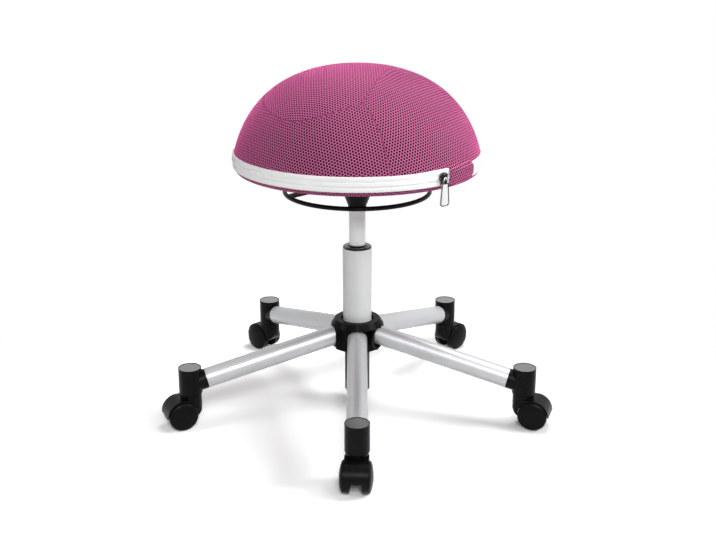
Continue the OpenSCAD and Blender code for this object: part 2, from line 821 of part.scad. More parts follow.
// Flap of cover fabric over the place where the zip starts and ends
module zip_tab() {
    h = flap_top_h - flap_low_h;
    mid = flap_angle + flap_sweep / 2;
    w = 2 * (band_r + flap_t) * sin(flap_sweep / 2);
    end_r = h / 2;
    in_r = coil_r + 0.1;
    side_in = dome_r + 0.15;
    top_in = side_in - (flap_top_h - dome_low_h) * tan(dome_lean) + 0.1;
    color("#c8488c") at_seat() intersection() {
        rotate(flap_angle) rotate_extrude(angle = flap_sweep) polygon([
            [in_r, flap_low_h],
            [in_r + flap_t, flap_low_h + 0.6],
            [in_r + flap_t, dome_low_h - 1.5],
            [side_in + flap_t + 0.8, dome_low_h + 1.8],
            [top_in + 1, flap_top_h],
            [top_in, flap_top_h],
            [side_in, dome_low_h + 0.1],
            [band_r - 0.6, dome_low_h + 0.1],
            [in_r, dome_low_h - 2]]);
        rotate(mid) translate([0, 0, flap_low_h]) rotate([90, 0, 90]) linear_extrude(height = 2 * band_r) {
            translate([-w / 2, 0]) square([w - end_r, h]);
            translate([w / 2 - end_r, end_r]) circle(r = end_r);
        }
    }
}

// Across the band at the zip's end: +X points out of the seat
module at_zip_end() {
    rotate(zip_end_angle) children();
}

module slider_outline() {
    translate([0, 1]) circle(r = slider_r - 1);
    translate([-slider_r * 0.62, -slider_r]) square([slider_r * 1.24, slider_r]);
}

module zip_slider() {
    color("#7d8083") at_seat() at_zip_end() {
        translate([slider_face_r, 0, slider_mid_h]) rotate([90, 0, 90]) linear_extrude(height = slider_t)
            slider_outline();
        for (s = [-1, 1]) translate([band_r + 0.4, -slider_r * 0.6, slider_mid_h - 0.6 + s * (coil_h / 2 + 1) - 0.6])
            cube([slider_face_r - band_r, slider_r * 1.2, 1.2]);
        for (s = [-1, 1]) translate([slider_face_r + slider_t - 0.2, s * (bail_half_l - 0.6) - 0.6, bail_h - bail_r])
            cube([bail_at_r - slider_face_r - slider_t + 0.2, 1.2, 2 * bail_r]);
        translate([bail_at_r, 0, bail_h]) around_y(bail_r, bail_half_l);
    }
}

module puller_outline(inset) {
    top = puller_top_w / 2 - inset;
    low = puller_low_w / 2 - inset;
    round_r = low * 0.55;
    polygon([[-top, -3 - inset], [top, -3 - inset], [low, -puller_l + round_r], [low - round_r, -puller_l + inset],
        [round_r - low, -puller_l + inset], [-low, -puller_l + round_r]]);
    for (s = [-1, 1]) translate([s * (low - round_r), -puller_l + round_r + inset]) circle(r = round_r);
}

module zip_puller() {
    color("#c3c6c9") at_seat() at_zip_end() translate([bail_at_r, 0, bail_h]) difference() {
        union() {
            translate([-puller_t / 2, 0, 0]) rotate([90, 0, 90]) linear_extrude(height = puller_t) puller_outline(0);
            around_y(bail_r + 1.3, bail_half_l - 2.2);
            translate([-puller_t / 2, -2.3, -4]) cube([puller_t, 4.6, 4]);
        }
        around_y(bail_r + 0.15, puller_top_w);
        translate([puller_t / 2 - 0.5, 0, 0]) rotate([90, 0, 90]) linear_extrude(height = puller_t)
            puller_outline(puller_rim);
    }
}

base_hub();
leg(0);  // leg_1
leg(1);  // leg_2
leg(2);  // leg_3
leg(3);  // leg_4
leg(4);  // leg_5
socket(0);  // socket_1
socket(1);  // socket_2
socket(2);  // socket_3
socket(3);  // socket_4
socket(4);  // socket_5
socket_caps();
leg_screws();
caster_stems();
stand_tube();
column_sleeve();
column_bush();
thrust_bearing();
piston_rod();
piston();
rod_clip();
for (i = [0:4]) {
    name = str("caster_", i + 1);
    caster_housing(i);
    caster_axle(i);
    wheel(i, 1);
    wheel(i, -1);
}
pressure_tube();
rod_gland();
seat_cone();
mount_plate();
mount_screws();
board_inserts();
seat_board();
half_ball();
valve_plug();
cover_top();
cover_bottom();
zip_tapes();
zip_coil();
zip_tab();
ring_pin();
release_button();
release_ring();
zip_slider();
zip_puller();
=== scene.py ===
import json
import math

import bmesh
import bpy
import numpy as np
from mathutils import Matrix, Vector
from mathutils.kdtree import KDTree


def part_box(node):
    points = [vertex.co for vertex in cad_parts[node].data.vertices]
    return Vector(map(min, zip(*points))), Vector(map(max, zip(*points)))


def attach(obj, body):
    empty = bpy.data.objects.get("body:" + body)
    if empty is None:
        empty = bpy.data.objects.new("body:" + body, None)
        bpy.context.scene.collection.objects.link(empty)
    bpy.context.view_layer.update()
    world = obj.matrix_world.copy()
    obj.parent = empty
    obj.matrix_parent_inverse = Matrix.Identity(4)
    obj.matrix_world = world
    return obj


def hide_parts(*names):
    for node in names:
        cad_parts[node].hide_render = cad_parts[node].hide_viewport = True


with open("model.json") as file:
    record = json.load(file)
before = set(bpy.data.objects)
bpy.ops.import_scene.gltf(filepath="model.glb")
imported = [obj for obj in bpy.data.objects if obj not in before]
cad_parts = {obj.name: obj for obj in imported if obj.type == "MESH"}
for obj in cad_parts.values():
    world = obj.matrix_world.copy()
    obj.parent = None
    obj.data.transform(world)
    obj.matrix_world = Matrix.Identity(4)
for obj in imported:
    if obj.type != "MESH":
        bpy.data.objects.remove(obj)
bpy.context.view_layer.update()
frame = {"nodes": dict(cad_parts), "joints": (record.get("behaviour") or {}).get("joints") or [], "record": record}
scene = bpy.context.scene
nodes = frame["nodes"]
mm = 0.001
print("frame loaded:", len(nodes), "nodes")


# shader maths: a wire carries a socket, so that an expression adds its own nodes

class Wire:
    def __init__(self, paint, socket):
        self.paint = paint
        self.socket = socket

    def math(self, operation, *others):
        return self.paint.math(operation, self, *others)

    def __add__(self, other):
        return self.math("ADD", other)

    __radd__ = __add__

    def __sub__(self, other):
        return self.math("SUBTRACT", other)

    def __rsub__(self, other):
        return self.paint.math("SUBTRACT", other, self)

    def __mul__(self, other):
        return self.math("MULTIPLY", other)

    __rmul__ = __mul__

    def __truediv__(self, other):
        return self.math("DIVIDE", other)

    def __rtruediv__(self, other):
        return self.paint.math("DIVIDE", other, self)

    def __gt__(self, other):
        return self.math("GREATER_THAN", other)

    def fract(self):
        return self.math("FRACT")

    def sine(self):
        return self.math("SINE")

    def sqrt(self):
        return self.math("SQRT")

    def least(self, other):
        return self.math("MINIMUM", other)

    def most(self, other):
        return self.math("MAXIMUM", other)

    def between(self, low, high, start=0.0, end=1.0):
        settings = {"interpolation_type": "SMOOTHSTEP"}
        return self.paint.node("ShaderNodeMapRange", settings, [self, low, high, start, end])


class Paint:
    def __init__(self, owner):
        owner.use_nodes = True
        self.owner = owner
        self.tree = owner.node_tree
        self.tree.nodes.clear()

    # any node: its settings first, then the values or wires of its sockets; a tuple asks for several outputs
    def node(self, kind, settings=None, sockets=(), output=0):
        made = self.tree.nodes.new(kind)
        for key, value in (settings or {}).items():
            setattr(made, key, value)
        for key, value in sockets.items() if isinstance(sockets, dict) else enumerate(sockets):
            if isinstance(value, Wire):
                self.tree.links.new(value.socket, made.inputs[key])
            else:
                made.inputs[key].default_value = value
        if isinstance(output, tuple):
            return [Wire(self, made.outputs[key]) for key in output]
        return Wire(self, made.outputs[output])

    def math(self, operation, *values):
        return self.node("ShaderNodeMath", {"operation": operation}, values)

    def place(self):
        return self.node("ShaderNodeTexCoord", output="Object")

    def split(self, vector):
        return self.node("ShaderNodeSeparateXYZ", None, [vector], (0, 1, 2))

    def join(self, x, y, z):
        return self.node("ShaderNodeCombineXYZ", None, [x, y, z])

    # the angle round the column
    def turn(self):
        x, y, _ = self.split(self.place())
        return y.math("ARCTAN2", x)

    def noise(self, scale, detail=3.0, rough=0.5, place=None):
        sockets = {"Vector": place or self.place(), "Scale": scale, "Detail": detail, "Roughness": rough}
        return self.node("ShaderNodeTexNoise", None, sockets)

    def attribute(self, name, output="Fac"):
        return self.node("ShaderNodeAttribute", {"attribute_name": name}, (), output)

    def mixColours(self, share, first, second):
        colours = [c if isinstance(c, Wire) else (*c, 1.0) for c in (first, second)]
        sockets = {0: share, 6: colours[0], 7: colours[1]}
        return self.node("ShaderNodeMix", {"data_type": "RGBA"}, sockets, 2)

    def mixVectors(self, share, first, second):
        return self.node("ShaderNodeMix", {"data_type": "VECTOR"}, {0: share, 4: first, 5: second}, 1)

    def bump(self, height, distance, strength=1.0):
        sockets = {"Height": height, "Distance": distance, "Strength": strength}
        return self.node("ShaderNodeBump", None, sockets)

    def surface(self, **sockets):
        named = {}
        for key, value in sockets.items():
            label = "".join(" " + c if c.isupper() else c for c in key).title()
            label = label.replace("Specular", "Specular IOR Level").replace("Ior", "IOR")
            if isinstance(value, tuple) and len(value) == 3:
                value = (*value, 1.0)
            named[label] = value
        self.finish(self.node("ShaderNodeBsdfPrincipled", None, named))
        return self.owner

    def finish(self, shader, kind="ShaderNodeOutputMaterial"):
        self.node(kind, None, {"Surface": shader}, ())


def newPaint(name):
    return Paint(bpy.data.materials.new(name))


def pieceFrom(shape, name, material, body):
    bmesh.ops.recalc_face_normals(shape, faces=shape.faces)
    data = bpy.data.meshes.new(name)
    shape.to_mesh(data)
    shape.free()
    for face in data.polygons:
        face.use_smooth = True
    piece = bpy.data.objects.new(name, data)
    scene.collection.objects.link(piece)
    data.materials.append(material)
    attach(piece, body)
    return piece


# turns a profile of (radius, height) points round the column's axis
def spun(points, steps, closed=True):
    shape = bmesh.new()
    verts = [shape.verts.new((r, 0, z)) for r, z in points]
    edges = [shape.edges.new(pair) for pair in zip(verts, verts[1:])]
    if closed:
        edges.append(shape.edges.new((verts[-1], verts[0])))
    bmesh.ops.spin(shape, geom=verts + edges, cent=(0, 0, 0), axis=(0, 0, 1),
                   angle=math.tau, steps=steps, use_merge=True)
    bmesh.ops.remove_doubles(shape, verts=shape.verts, dist=1e-6)
    return shape


def arc(centre, radius, start, end, count):
    angles = np.radians(np.linspace(start, end, count))
    return [(centre[0] + radius * math.cos(a), centre[1] + radius * math.sin(a)) for a in angles]


def bezier(corners, count):
    t = np.linspace(0, 1, count)[:, None]
    a, b, c, d = (np.array(p, float) for p in corners)
    return (1 - t) ** 3 * a + 3 * (1 - t) ** 2 * t * b + 3 * (1 - t) * t * t * c + t ** 3 * d


# the photograph's view, from the straight edges and circles of the stool
cameraSet = {"lens": 52.056, "place": (0.0013, -1.7005, 0.8147), "pitch": 18.444}
cameraData = bpy.data.cameras.new("camera")
cameraData.lens = cameraSet["lens"]
cameraData.sensor_width = 36.0
camera = bpy.data.objects.new("camera", cameraData)
camera.location = cameraSet["place"]
camera.rotation_euler = (math.radians(90 - cameraSet["pitch"]), 0, 0)
scene.collection.objects.link(camera)
scene.camera = camera


# the mesh cover of the half ball: one curve turned round the column, with its sewn seams
dome = {
    "radius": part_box("cover_top")[1].x, "rim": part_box("cover_top")[0].z, "top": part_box("cover_top")[1].z,
    "flat": 0.1704, "pull": 0.0236, "lean": 18.1, "thickness": 0.003,
    "rings": 96, "innerRings": 24, "hem": 0.0015, "steps": 216, "nearSeam": 0.007, "cuts": 3,
    "eyeBelow": 0.06,                                     # the curve is read by its angle, seen from this far down
}
seams = {
    "corner": (0.0087, -0.1405),
    "side": [(-0.152, 0), (-0.158, -0.095), (-0.105, -0.185)],
    "crown": [(0.018, -0.118), (0.050, -0.050), (0.052, 0)],
    "drop": [(0.024, -0.162), (0.038, -0.178), (0.054, -0.206)],
    "depth": 0.0006, "width": 0.0009, "puff": 0.00025, "puffAt": 0.0030, "puffWidth": 0.0018, "still": 0.004,
    "creaseShadeEdge": (0.2, 0.8), "seamShadeEdge": (0.8, 1.6),       # in mm from the seam, for the painted shade along the seams
}
lifted = {"azimuth": 309.0, "height": 0.0020, "spread": 11.0, "end": 4.4, "fade": 0.022}
weave = {
    "pitch": 4.8, "cone": 0.35, "turnLeft": 9.5, "turnRight": -8.0, "turnTop": 1.0,
    "holeEdge": (1.42, 2.06), "crestHighlightEdge": (1.7, 2.5), "reliefEdge": (1.5, 2.6),
    # hole: painted shade, the near-black that stands for the shade deep in each hole
    "wobble": 0.25, "hole": (0.020, 0.001, 0.007),
    # crease and sewn: painted shade, darkest in the seam's crease and fading beside it
    "crease": (0.16, 0.020, 0.075), "sewn": (0.29, 0.045, 0.14),
    "thread": (0.48, 0.115, 0.25), "threadWarm": (0.53, 0.125, 0.275), "threadDark": (0.35, 0.057, 0.175),
    # crest: a painted highlight on the threads' rounded tops
    "crestHighlight": (0.64, 0.205, 0.37), "sheen": (1.0, 0.17, 0.50),
}


def domeCurve(inset, count):
    radius = dome["radius"] - inset
    height = dome["top"] - dome["rim"] - inset
    lean = math.radians(dome["lean"])
    corners = [(0, height), (dome["flat"] * radius / dome["radius"], height),
               (radius - dome["pull"] * math.sin(lean), dome["pull"] * math.cos(lean)), (radius, 0)]
    fine = bezier(corners, 2000)
    run = np.concatenate([[0], np.cumsum(np.hypot(*np.diff(fine, axis=0).T))])
    even = np.linspace(0, run[-1], count)
    return np.stack([np.interp(even, run, fine[:, k]) for k in (0, 1)], 1)


curveTable = domeCurve(0, 1500)[::-1]                     # from the rim up to the crown
curveRun = np.concatenate([[0], np.cumsum(np.hypot(*np.diff(curveTable, axis=0).T))])
curveAngle = np.arctan2(curveTable[:, 1] + dome["eyeBelow"], curveTable[:, 0])
stepArea = np.diff(curveRun) * (curveTable[1:, 0] + curveTable[:-1, 0]) / 2
curveArea = np.concatenate([[0], np.cumsum(stepArea)])    # area under the curve, per radian


def seamCurves():
    front = [[*seams["side"], seams["corner"]], [seams["corner"], *seams["crown"]],
             [seams["corner"], *seams["drop"]]]
    front = [bezier(corners, 160) for corners in front]
    return front, [line * (1, -1) for line in front]


# plan points lifted on to the dome
def onDome(plan):
    radius = np.hypot(plan[:, 0], plan[:, 1])
    height = np.interp(radius, curveTable[::-1, 0], curveTable[::-1, 1])
    return np.column_stack([plan, height + dome["rim"]])


def distanceTo(lines, points):
    chains = [onDome(line) for line in lines]
    tree = KDTree(sum(len(c) for c in chains))
    starts, ends = [], []
    for chain in chains:
        for k in range(len(chain)):
            tree.insert(chain[k], len(starts))
            starts.append(chain[max(k - 1, 0)])
            ends.append(chain[min(k + 1, len(chain) - 1)])
    tree.balance()
    found = [tree.find(p) for p in points]
    near = np.array([f[0] for f in found])
    index = np.array([f[1] for f in found])
    along = np.array(ends)[index] - np.array(starts)[index]
    along /= np.linalg.norm(along, axis=1)[:, None]
    offset = points - near
    return np.linalg.norm(offset - (offset * along).sum(1)[:, None] * along, axis=1)


def inside(plan, outline):
    result = np.zeros(len(plan), bool)
    x, y = plan[:, 0], plan[:, 1]
    for (x0, y0), (x1, y1) in zip(outline, np.roll(outline, -1, axis=0)):
        crosses = (y0 > y) != (y1 > y)
        with np.errstate(divide="ignore", invalid="ignore"):
            result ^= crosses & (x < (x1 - x0) * (y - y0) / (y1 - y0) + x0)
    return result


def turned(x, y, degrees):
    c, s = math.cos(math.radians(degrees)), math.sin(math.radians(degrees))
    return np.column_stack([x * c + y * s, y * c - x * s, x * 0]) / mm


# flat cloth coordinates of a point on the cover, in mm: each panel was cut flat and pulled over the ball
def clothOnCone(azimuth, area, turn):
    cone = weave["cone"]
    base = dome["radius"] / cone
    reach = np.sqrt(np.maximum(base ** 2 - 2 * area / cone, 1e-9))
    swing = cone * (azimuth + math.pi / 2)
    return turned(reach * np.sin(swing), base - reach * np.cos(swing), turn)


def clothOnCrown(azimuth, area, turn):
    reach = np.sqrt(np.maximum(2 * (curveArea[-1] - area), 0))
    return turned(reach * np.cos(azimuth), reach * np.sin(azimuth), turn)


def writeAttribute(piece, name, values):
    kind, key = ("FLOAT_VECTOR", "vector") if values.ndim == 2 else ("FLOAT", "value")
    layer = piece.data.attributes.new(name, kind, "POINT")
    layer.data.foreach_set(key, np.ascontiguousarray(values, np.float32).ravel())


def seenAngle(points):
    height = points[:, 2] - dome["rim"] + dome["eyeBelow"]
    return np.arctan2(height, np.hypot(points[:, 0], points[:, 1]))


def clothAttributes(piece, run=None):
    points = np.array([v.co for v in piece.data.vertices])
    azimuth = np.arctan2(points[:, 1], points[:, 0])
    if run is None:
        run = np.interp(seenAngle(points), curveAngle, curveRun)
    area = np.where(run < 0, run * dome["radius"], np.interp(run, curveRun, curveArea))
    leftAzimuth = np.where(azimuth > 0, azimuth - math.tau, azimuth)
    writeAttribute(piece, "clothLeft", clothOnCone(leftAzimuth, area, weave["turnLeft"]))
    writeAttribute(piece, "clothRight", clothOnCone(azimuth, area, weave["turnRight"]))
    writeAttribute(piece, "clothTop", clothOnCrown(azimuth, area, weave["turnTop"]))
    front, back = seamCurves()
    plan = points[:, :2]
    side, crown, drop = front
    sideBack, crownBack, dropBack = back
    topOutline = np.concatenate([side, crown, crownBack[::-1], sideBack[::-1]])
    far = np.array([(0.4, 0.3), (0.4, -0.3)])
    rightOutline = np.concatenate([drop[::-1], crown, crownBack[::-1], dropBack, far])
    toTop = distanceTo([side, crown, sideBack, crownBack], points)
    toRight = distanceTo([drop, crown, dropBack, crownBack], points)
    writeAttribute(piece, "inTop", np.where(inside(plan, topOutline), toTop, -toTop) / mm)
    writeAttribute(piece, "inRight", np.where(inside(plan, rightOutline), toRight, -toRight) / mm)
    writeAttribute(piece, "toSeam", np.minimum(toTop, toRight) / mm)


# the hem stands a little higher beside the zip's slider, where the tape's end is pulled up
def hemRise(azimuth):
    away = (math.degrees(azimuth) - lifted["azimuth"] + 180) % 360 - 180
    beside = min(max(lifted["end"] - away, 0), 1)
    return lifted["height"] * math.exp(-(away / lifted["spread"]) ** 2) * beside


# is a point on the cover's outer skin, not on its lining or hem
def isOuter(point):
    radius = math.hypot(point.x, point.y)
    height = point.z - dome["rim"]
    if height < -1e-6:
        return False
    angle = math.atan2(height + dome["eyeBelow"], radius)
    reach = math.hypot(np.interp(angle, curveAngle, curveTable[:, 0]),
                       np.interp(angle, curveAngle, curveTable[:, 1]) + dome["eyeBelow"])
    return math.hypot(radius, height + dome["eyeBelow"]) > reach - dome["thickness"] / 3


# puts the outer skin on the exact curve, then sinks the seams and lifts the cloth beside them
def settle(shape, lines):
    outside = [v for v in shape.verts if isOuter(v.co)]
    points = np.array([v.co for v in outside])
    azimuth = np.arctan2(points[:, 1], points[:, 0])
    angle = seenAngle(points)
    radius = np.interp(angle, curveAngle, curveTable[:, 0])
    height = np.interp(angle, curveAngle, curveTable[:, 1])
    slopeR = np.interp(angle, curveAngle, np.gradient(curveTable[:, 0], curveRun))
    slopeZ = np.interp(angle, curveAngle, np.gradient(curveTable[:, 1], curveRun))
    exact = np.column_stack([radius * np.cos(azimuth), radius * np.sin(azimuth), height + dome["rim"]])
    gap = distanceTo(lines, exact)
    move = seams["puff"] * np.exp(-((gap - seams["puffAt"]) / seams["puffWidth"]) ** 2)
    move = move - seams["depth"] * np.exp(-(gap / seams["width"]) ** 2)
    move = move * np.clip(height / seams["still"], 0, 1)  # nothing moves at the rim, where the zip is sewn on
    radius = radius + slopeZ * move
    height = height - slopeR * move
    for vert, a, r, z in zip(outside, azimuth, radius, height):
        vert.co = (r * math.cos(a), r * math.sin(a), z + dome["rim"])


def makeCover(material):
    outer = domeCurve(0, dome["rings"])
    inner = domeCurve(dome["thickness"], dome["innerRings"])[::-1]
    hem = arc((dome["radius"] - dome["hem"], 0), dome["hem"], 0, -180, 7)[1:-1]
    profile = [*outer, *hem, *inner]
    shape = spun([(r, z + dome["rim"]) for r, z in profile], dome["steps"], closed=False)
    lines = sum(seamCurves(), [])
    outside = [v for v in shape.verts if isOuter(v.co)]
    near = distanceTo(lines, np.array([v.co for v in outside])) < dome["nearSeam"]
    chosen = {v for v, close in zip(outside, near) if close}
    edges = [e for e in shape.edges if e.verts[0] in chosen and e.verts[1] in chosen]
    bmesh.ops.subdivide_edges(shape, edges=edges, cuts=dome["cuts"], use_grid_fill=True)
    settle(shape, lines)
    for vert in shape.verts:
        fade = min(max(1 - (vert.co.z - dome["rim"]) / lifted["fade"], 0), 1)
        vert.co.z += hemRise(math.atan2(vert.co.y, vert.co.x)) * fade * fade
    piece = pieceFrom(shape, "seat_cover_top", material, "seat")
    clothAttributes(piece)
    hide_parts("cover_top")
    return piece


# spacer mesh: holes in staggered columns between round knitted threads, with painted shade in the holes and along the
# seams and a painted highlight on the threads' crests
def spacerMesh(name, panels):
    paint = newPaint(name)
    if panels:
        top = paint.attribute("inTop") > 0.0
        right = paint.attribute("inRight") > 0.0
        onLeft, onRight, onTop = (paint.attribute(side, "Vector") for side in ("clothLeft", "clothRight", "clothTop"))
        cloth = paint.mixVectors(top, paint.mixVectors(right, onLeft, onRight), onTop)
        toSeam = paint.attribute("toSeam")
    else:
        cloth = paint.attribute("clothFlat", "Vector")
    across, along, _ = paint.split(cloth)
    wide, tall = weave["pitch"] * math.sqrt(3), weave["pitch"]

    # distance in mm to the nearest hole
    def toHole(shift):
        x = ((across / wide + shift).fract() - 0.5) * wide
        y = ((along / tall + shift).fract() - 0.5) * tall
        return (x * x + y * y).sqrt()

    wobble = paint.noise(900.0, 2.0)
    drift = paint.noise(9.0, 3.0)
    hole = toHole(0.0).least(toHole(0.5)) + (wobble - 0.5) * weave["wobble"]
    thread = hole.between(*weave["holeEdge"])
    warm = paint.mixColours(drift, weave["thread"], weave["threadWarm"])
    # painted highlight: the threads' crests, away from the holes, are coloured lighter
    highlitThread = paint.mixColours(hole.between(*weave["crestHighlightEdge"]) * 0.6, warm, weave["crestHighlight"])
    worn = paint.mixColours(wobble * 0.25, highlitThread, weave["threadDark"])
    # painted shade: the holes' near-black colour stands for the shade deep in them
    colour = paint.mixColours(thread, weave["hole"], worn)
    height = thread + hole.between(*weave["reliefEdge"]) * 0.5
    if panels:
        # painted shade: the cloth darkens towards the seams, darkest in the crease
        crease = toSeam.between(*seams["creaseShadeEdge"])
        sewn = paint.mixColours(crease, weave["crease"], weave["sewn"])
        colour = paint.mixColours(toSeam.between(*seams["seamShadeEdge"]), sewn, colour)
        height = height * crease
    return paint.surface(baseColor=colour, roughness=0.7, normal=paint.bump(height, 0.0006, 0.7),
                         sheenWeight=1.0, sheenRoughness=0.4, sheenTint=weave["sheen"], specular=0.08)


def whiteTape(name, rib):
    paint = newPaint(name)
    _, _, z = paint.split(paint.place())
    twill = (paint.turn() * rib + z * 2600.0).sine() * 0.5 + 0.5
    soil = paint.noise(14.0, 4.0)
    colour = paint.mixColours(twill * 0.6 + soil * 0.4, (0.93, 0.93, 0.925), (0.985, 0.985, 0.98))
    return paint.surface(baseColor=colour, roughness=0.7, normal=paint.bump(twill, 0.0002, 0.5),
                         sheenWeight=0.15, sheenRoughness=0.5)


# moulded plastic or powder coat: fine grain, uneven gloss, dust-light patches
def grained(name, colour, rough, grain=0.00012, grainScale=1400.0, coat=0.0, specular=0.08):
    paint = newPaint(name)
    fine = paint.noise(grainScale, 2.0)
    broad = paint.noise(18.0, 4.0)
    light = tuple(min(c * 1.4 + 0.0012, 1.0) for c in colour)
    tone = paint.mixColours(broad, colour, light)
    roughness = broad.between(0.3, 0.7, rough - 0.05, rough + 0.06)
    return paint.surface(baseColor=tone, roughness=roughness, normal=paint.bump(fine, grain, 0.6),
                         coatWeight=coat, coatRoughness=0.1, coatIor=1.7, specular=specular)


# silver lacquer: fine flakes under a satin coat
def lacquer(name, colour, rough, metallic, specular=0.5):
    paint = newPaint(name)
    sockets = {"Vector": paint.place(), "Scale": 2600.0}
    sparkle, _, _ = paint.split(paint.node("ShaderNodeTexVoronoi", {"feature": "F1"}, sockets, "Color"))
    broad = paint.noise(11.0, 3.0)
    dim = tuple(c * 0.93 for c in colour)
    tone = paint.mixColours(sparkle * 0.5 + broad * 0.5, dim, colour)
    roughness = sparkle.between(0, 1, rough - 0.04, rough + 0.05)
    return paint.surface(baseColor=tone, metallic=metallic, roughness=roughness, specular=specular,
                         normal=paint.bump(paint.noise(700.0, 2.0), 0.00003, 0.4))


def bareMetal(name, colour, rough, brushed=True):
    paint = newPaint(name)
    x, y, z = paint.split(paint.place())
    lines = paint.noise(300.0, 3.0, 0.6, paint.join(x, y, z * 30.0) if brushed else paint.place())
    tone = paint.mixColours(lines, tuple(c * 0.88 for c in colour), colour)
    return paint.surface(baseColor=tone, metallic=1.0, roughness=lines.between(0.3, 0.7, rough - 0.04, rough + 0.06),
                         normal=paint.bump(lines, 0.00002, 0.4))


# the puller: a near-black polished rim, painted dark reflection on its rounded edge, round a pale brushed panel, and
# a pale back
def pullerMetal(name):
    paint = newPaint(name)
    out = (math.cos(endAzimuth), math.sin(endAzimuth), 0)
    depth = paint.node("ShaderNodeVectorMath", {"operation": "DOT_PRODUCT"}, [paint.place(), out], "Value")
    panel = 1 - depth.between(pullerFace["panel"], pullerFace["rim"])
    panel = panel * depth.between(pullerFace["back"], pullerFace["middle"])
    panel = panel.most(1 - depth.between(pullerFace["plate"], pullerFace["plateEdge"]))
    x, y, z = paint.split(paint.place())
    lines = paint.noise(260.0, 3.0, 0.6, paint.join(x * 8.0, y * 8.0, z))
    # painted dark reflection: the rim's near-black colour stands for the dark its rounded edge reflects
    rim = paint.mixColours(lines, (0.006, 0.006, 0.006), (0.020, 0.019, 0.020))
    pale = paint.mixColours(lines, (0.78, 0.77, 0.78), (0.90, 0.89, 0.90))
    return paint.surface(baseColor=paint.mixColours(panel, rim, pale), metallic=1 - panel * 0.6,
                         roughness=panel.between(0, 1, 0.18, 0.34), normal=paint.bump(lines, 0.00002, 0.4))


# round cap in a leg's end: moulded rings, lighter where it catches dust
def cappedDisc(name):
    paint = newPaint(name)
    x, y, _ = paint.split(paint.place())
    fifth = math.tau / 5
    fold = ((paint.turn() / fifth + 0.75).fract() - 0.5) * fifth
    reach = (x * x + y * y).sqrt()
    along = reach * fold.math("COSINE") - capRings["foot"]
    across = reach * fold.sine()
    off = (along * along + across * across).sqrt()
    rings = (off * capRings["turns"]).sine() * 0.5 + 0.5
    dust = paint.noise(60.0, 4.0)
    tone = paint.mixColours(dust * 0.6 + rings * 0.4, (0.005, 0.005, 0.0055), (0.014, 0.014, 0.015))
    return paint.surface(baseColor=tone, roughness=dust.between(0.3, 0.7, 0.24, 0.36),
                         normal=paint.bump(rings, 0.00004, 0.4), coatWeight=1.0, coatRoughness=0.12, coatIor=1.8)


def plywood(name):
    paint = newPaint(name)
    x, y, z = paint.split(paint.place())
    plies = (z * 2100.0).sine().between(-0.3, 0.3)
    grain = paint.noise(40.0, 5.0, 0.6, paint.join(x * 0.12, y, z))
    tone = paint.mixColours(grain, (0.60, 0.42, 0.24), (0.72, 0.54, 0.33))
    tone = paint.mixColours(plies, (0.45, 0.29, 0.16), tone)
    return paint.surface(baseColor=tone, roughness=0.65, normal=paint.bump(grain, 0.0002, 0.5))


joints = {j["name"]: j for j in frame["joints"]}
bail = Vector(joints["puller_swing"]["pos_m"])
endAzimuth = math.atan2(bail.y, bail.x)
pullerFace = {"plate": bail.xy.length - 0.00078, "plateEdge": bail.xy.length - 0.0007,
              "back": bail.xy.length - 0.0004, "middle": bail.xy.length - 0.0002,
              "panel": bail.xy.length + 0.0004, "rim": bail.xy.length + 0.0006}
capRings = {"foot": 0.298, "turns": 1400.0}

black = (0.0022, 0.0022, 0.0025)
finishes = {
    "hub_plastic": grained("hub_plastic", black, 0.30, specular=0.04),
    "leg_silver": lacquer("leg_silver", (0.58, 0.59, 0.605), 0.38, 0.5, 0.15),
    "socket_plastic": grained("socket_plastic", black, 0.30, specular=0.08),
    "cap_gloss": cappedDisc("cap_gloss"),
    "screw_steel": bareMetal("screw_steel", (0.30, 0.30, 0.31), 0.4, False),
    "stem_steel": bareMetal("stem_steel", (0.62, 0.62, 0.63), 0.3),
    "stand_black": grained("stand_black", (0.006, 0.006, 0.0065), 0.32, specular=0.1),
    "column_silver": lacquer("column_silver", (0.72, 0.73, 0.73), 0.42, 0.10, 0.05),
    "bush_gloss": grained("bush_gloss", black, 0.12, 0.00002, 900.0, 0.35, 0.2),
    "rod_chrome": bareMetal("rod_chrome", (0.75, 0.76, 0.78), 0.12, False),
    "tube_silver": lacquer("tube_silver", (0.88, 0.89, 0.89), 0.34, 0.25, 0.08),
    "caster_plastic": grained("caster_plastic", black, 0.26, specular=0.08),
    "axle_steel": bareMetal("axle_steel", (0.62, 0.62, 0.63), 0.3),
    "wheel_plastic": grained("wheel_plastic", black, 0.30),
    "boss_plastic": grained("boss_plastic", black, 0.40),
    "plate_black": grained("plate_black", (0.01, 0.01, 0.01), 0.45),
    "board_wood": plywood("board_wood"),
    "ball_rubber": grained("ball_rubber", (0.30, 0.05, 0.16), 0.45, specular=0.4),
    "button_brass": bareMetal("button_brass", (0.72, 0.52, 0.25), 0.3, False),
    "ring_black": grained("ring_black", (0.004, 0.004, 0.004), 0.30, 0.00006, specular=0.08),
    "slider_chrome": bareMetal("slider_chrome", (0.16, 0.155, 0.16), 0.18, False),
    "puller_chrome": pullerMetal("puller_chrome"),
}
meshTop = spacerMesh("cover_mesh", True)
meshFlat = spacerMesh("cover_mesh_under", False)
tapeWhite = whiteTape("tape_white", 900.0)
teethWhite = whiteTape("teeth_white", 500.0)
finishes["cover_mesh"] = meshTop
finishes["flap_pink"] = meshTop
finishes["tape_white"] = tapeWhite
for row in frame["record"]["subparts"]:
    node = nodes[row["node"]]
    node.data.materials.clear()
    node.data.materials.append(finishes[row["material_slot"]])
print("materials made:", len(finishes))

coverTop = makeCover(meshTop)
print("cover made:", len(coverTop.data.polygons), "faces")


